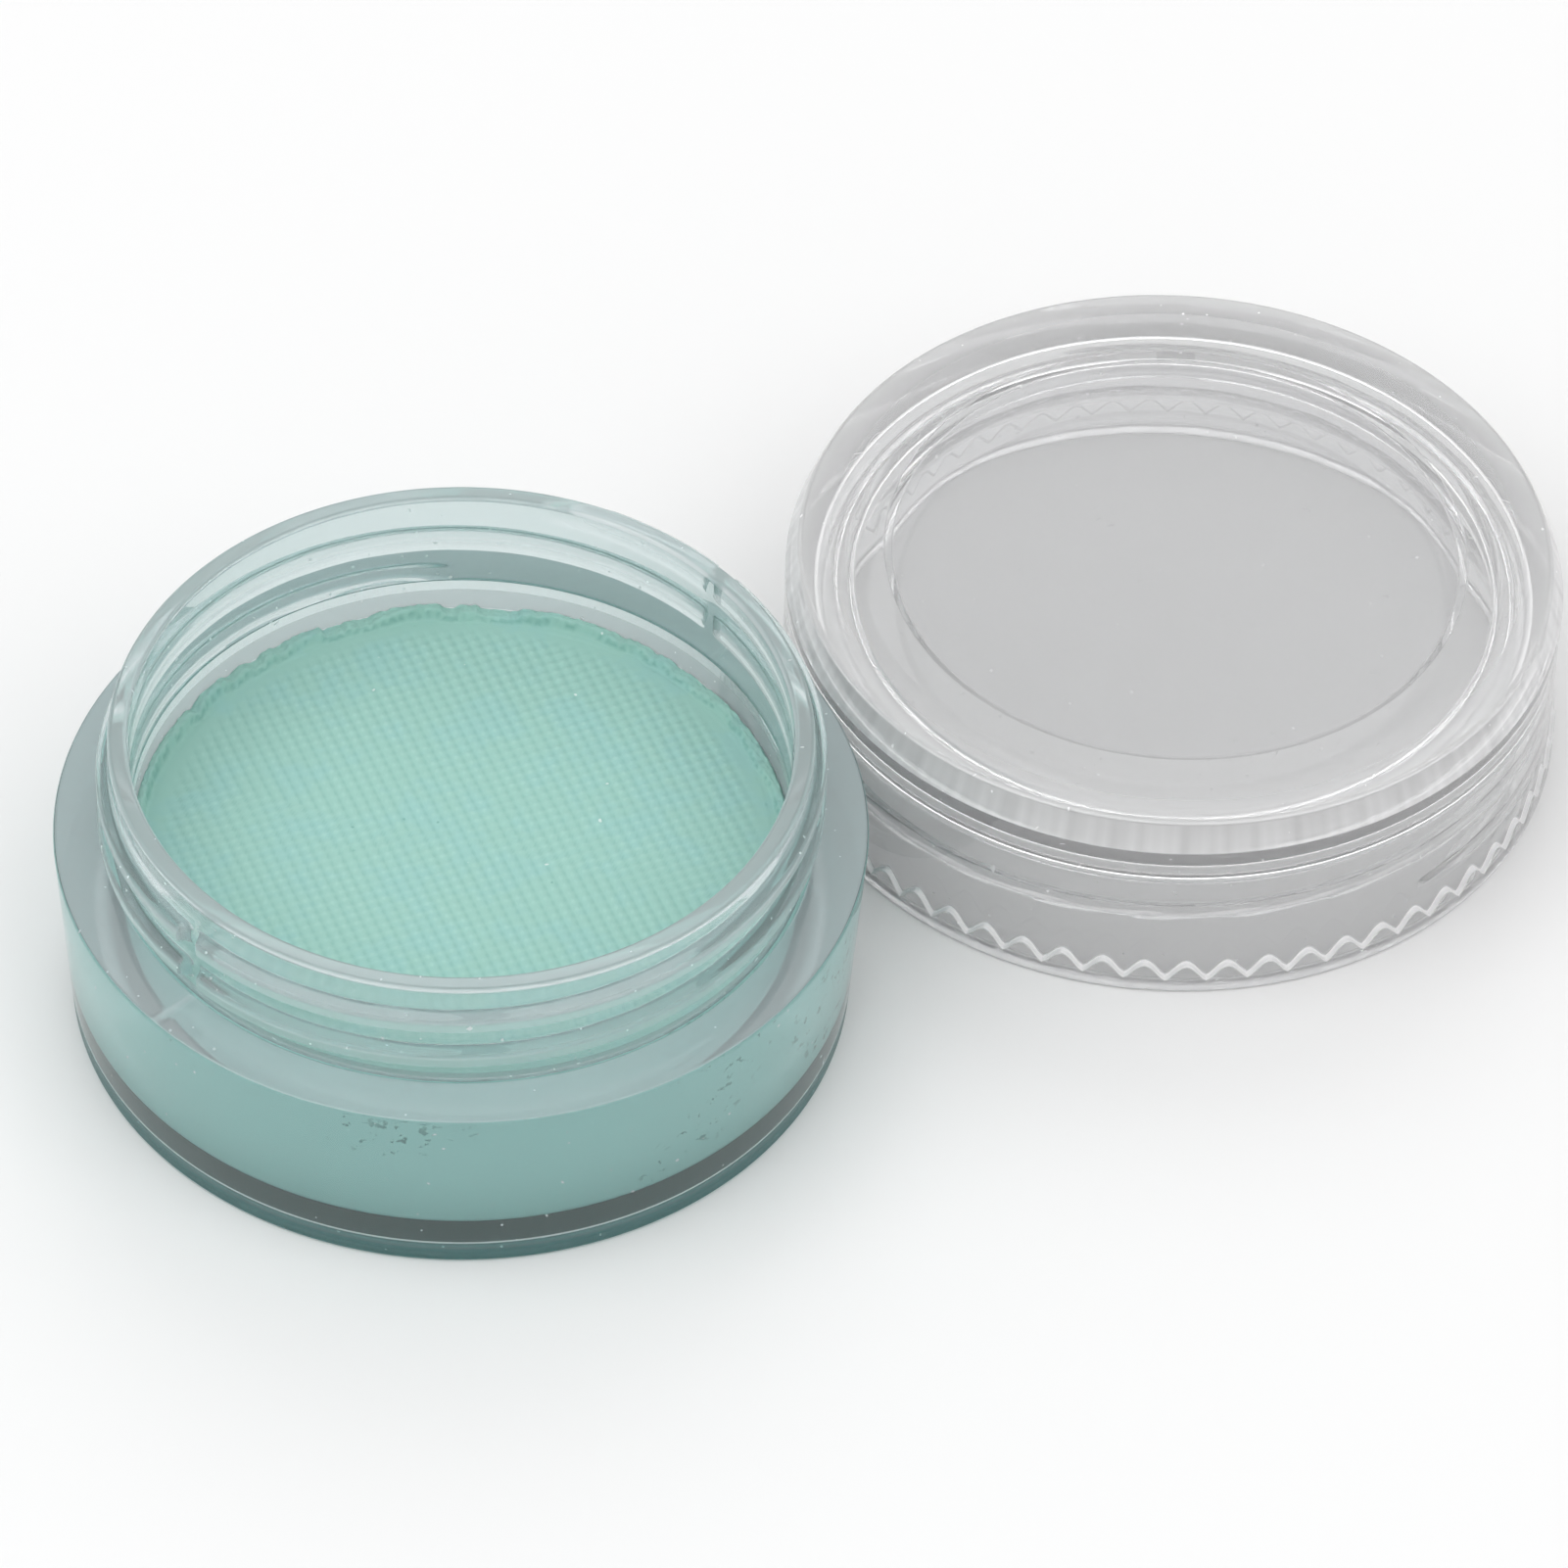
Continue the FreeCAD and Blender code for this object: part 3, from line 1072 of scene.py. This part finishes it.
    def build(self) -> bpy.types.Object:
        """Turns the lid's outline, waves the flange's top for grip and raises the thread inside.

        The flange's top follows z = low + (high - low) |sin(waves a / 2)| ^ power. A quarter round
        leads onto it from the flange's face, and a hollow quarter round leads off it up the skirt.

        Returns:
            The lid.
        """
        columns = self.waves * self.wave_columns
        angle = np.arange(columns) * TURN / columns
        wave = np.abs(np.sin(0.5 * self.waves * angle)) ** self.wave_power
        crown = self.flange_low + (self.flange_high - self.flange_low) * wave
        inner_r, inner_z = spread(self._inside(), columns)
        ridge = np.isclose(inner_r, self.cavity) * self.thread.rise(inner_z, angle, self.cavity)
        swing = np.linspace(0.0, 0.5 * math.pi, self.wave_rows)[:, None]
        bend = self.flange_round
        edge_r = np.repeat(self.flange - bend * (1.0 - np.cos(swing)), columns, 1)
        edge_z = crown - bend * (1.0 - np.sin(swing))
        root_r = np.repeat(self.skirt + bend * (1.0 - np.sin(swing)), columns, 1)
        root_z = crown + bend * (1.0 - np.cos(swing))
        top_r, top_z = spread(self._top(), columns)
        wall_z = root_z[-1] + (top_z[0] - root_z[-1]) * np.array(self.skirt_shares)[:, None]
        wall_r = np.full_like(wall_z, self.skirt)
        radius = np.concatenate([inner_r - ridge, edge_r, root_r, wall_r, top_r])
        height = np.concatenate([inner_z, edge_z, root_z, wall_z, top_z])
        # Painted highlights: a white line round the flange's underside rim, on the thread's crest and
        # along the wavy ledge; painted light on the top.
        on_rim = (inner_z < self.rim_height) & (inner_r > self.cavity)
        wave_painted_highlight = self.wave_painted_highlight * np.concatenate([np.sqrt(np.sin(swing)), np.ones_like(swing)])
        frost_and_painted_light = np.concatenate([
            self.thread_painted_highlight * ridge / self.thread.depth + self.rim_painted_highlight * on_rim,
            np.repeat(wave_painted_highlight, columns, 1),
            np.zeros_like(wall_r),
            self._top_painted_light(top_r, top_z, angle),
        ])
        poles = (self.ceiling, self.panel_top)
        return turned_piece("lid_shell", radius, height, angle, poles, frost_and_painted_light, self.centre)

    def dress(self) -> list[bpy.types.Object]:
        """Builds the lid, gives it its finish and seats it on the frame.

        Returns:
            The piece, in a list.
        """
        shell = self.build()
        shell.data.materials.append(self.plastic.make())
        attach(shell, Body.LID.value)
        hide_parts("lid")
        return [shell]


@dataclass(frozen=True)
class Lamp:
    """A round soft lamp: its place as right, away and up from the camera, its width and its power."""

    name: str
    where: tuple
    width: float
    watts: float


def grey(level: float) -> tuple:
    """A grey of this level."""
    return (level, level, level, 1.0)


@dataclass
class Studio:
    """The pale floor, the soft lights and the camera at the photograph's angle, in metres."""

    azimuth: float = 29.8
    elevation: float = 45.8
    roll: float = 2.0
    distance: float = 0.5
    focal_pixels: float = 10057.0
    frame_pixels: float = 1601.0
    aim: tuple = (0.01573, 0.01374, 0.0)
    floor_reach: float = 3.0
    floor_drop: float = 0.00002
    floor_points: int = 9
    floor_level: float = 0.88
    floor_roughness: float = 0.9
    horizon: float = 0.78
    zenith: float = 0.72
    sky_span: tuple = (0.1, 1.0)
    backdrop: float = 0.93
    lamps: tuple = (
        Lamp("key_lamp", (-0.5, -0.3, 0.95), 1.1, 3.5),
        Lamp("fill_lamp", (0.55, -0.45, 0.95), 0.9, 2.3),
        Lamp("back_lamp", (0.0, 0.9, 0.9), 0.75, 2.0),
    )

    def _turned(self, x: float, y: float, z: float) -> Vector:
        """A direction given as right, away and up from the camera, in the frame's axes."""
        return Matrix.Rotation(-math.radians(self.azimuth), 3, "Z") @ Vector((x, y, z))

    def camera(self) -> None:
        """Stands the camera at the photograph's angle for a square frame."""
        tilt = math.radians(self.elevation)
        aim = self._turned(*self.aim)
        back = self._turned(0.0, -math.cos(tilt), math.sin(tilt))
        right = self._turned(1.0, 0.0, 0.0)
        up = back.cross(right)
        lean = math.radians(self.roll)
        across = right * math.cos(lean) + up * math.sin(lean)
        upright = up * math.cos(lean) - right * math.sin(lean)
        axes = Matrix((across, upright, back))
        data = bpy.data.cameras.new("photo_camera")
        data.sensor_fit = "HORIZONTAL"
        data.sensor_width = SENSOR_WIDTH
        data.lens = SENSOR_WIDTH * self.focal_pixels / self.frame_pixels
        eye = bpy.data.objects.new("photo_camera", data)
        bpy.context.scene.collection.objects.link(eye)
        eye.matrix_world = Matrix.Translation(aim + back * self.distance) @ axes.transposed().to_4x4()
        bpy.context.scene.camera = eye

    def hang(self, lamp: Lamp) -> None:
        """Hangs a lamp so that it faces the pot.

        Args:
            lamp: the lamp.
        """
        data = bpy.data.lights.new(lamp.name, "AREA")
        data.shape = "DISK"
        data.size = lamp.width
        data.energy = lamp.watts
        light = bpy.data.objects.new(lamp.name, data)
        bpy.context.scene.collection.objects.link(light)
        place = self._turned(*lamp.where)
        facing = place.to_track_quat("Z", "Y").to_matrix().to_4x4()
        light.matrix_world = Matrix.Translation(place) @ facing

    def sky(self) -> None:
        """Lights the scene all round, paler near the horizon, and shows an even backdrop behind it."""
        world = bpy.data.worlds.new("studio")
        bpy.context.scene.world = world
        world.use_nodes = True
        graph = Graph(world.node_tree)
        way = graph.node("ShaderNodeTexCoord", {}, {}, "Generated")
        height = graph.node("ShaderNodeSeparateXYZ", {}, {"Vector": way}, "Z")
        colour = graph.blend(graph.ramp(height, *self.sky_span), grey(self.horizon), grey(self.zenith))
        seen, mirrored, through = (graph.node("ShaderNodeLightPath", {}, {}, f"Is {ray} Ray")
                                   for ray in ("Camera", "Glossy", "Transmission"))
        colour = graph.blend(seen + mirrored + through, colour, grey(self.backdrop))
        light = graph.node("ShaderNodeBackground", {}, {"Color": colour, "Strength": 1.0})
        graph.node("ShaderNodeOutputWorld", {}, {"Surface": light})

    def floor(self) -> None:
        """Lays a wide pale floor just under the pieces, as a flat grid."""
        side = np.linspace(-self.floor_reach, self.floor_reach, self.floor_points)
        x, y = np.meshgrid(side, side)
        points = np.stack([x, y, np.full_like(x, -self.floor_drop)], -1).reshape(-1, 3) / MM
        index = np.arange(len(points)).reshape(x.shape)
        ground = make_piece("studio_floor", points, [grid_faces(index)])
        material = bpy.data.materials.new("pale_floor")
        material.use_nodes = True
        graph = Graph(material.node_tree)
        skin = graph.node("ShaderNodeBsdfPrincipled", {}, {
            "Base Color": grey(self.floor_level),
            "Roughness": self.floor_roughness,
            "Specular IOR Level": 0.0,
        })
        graph.node("ShaderNodeOutputMaterial", {}, {"Surface": skin})
        ground.data.materials.append(material)

    def build(self) -> None:
        """Sets up everything that isn't part of the object."""
        bpy.context.scene.view_settings.view_transform = "Standard"
        self.camera()
        self.sky()
        self.floor()
        for lamp in self.lamps:
            self.hang(lamp)


def main() -> None:
    """Builds the studio and the pieces in order and reports each."""
    logging.basicConfig(level=logging.INFO)
    Studio().build()
    for piece in Pot().dress() + Lid().dress():
        log.info("%s: %d points, %d faces", piece.name, len(piece.data.vertices), len(piece.data.polygons))


if __name__ == "__main__":
    main()
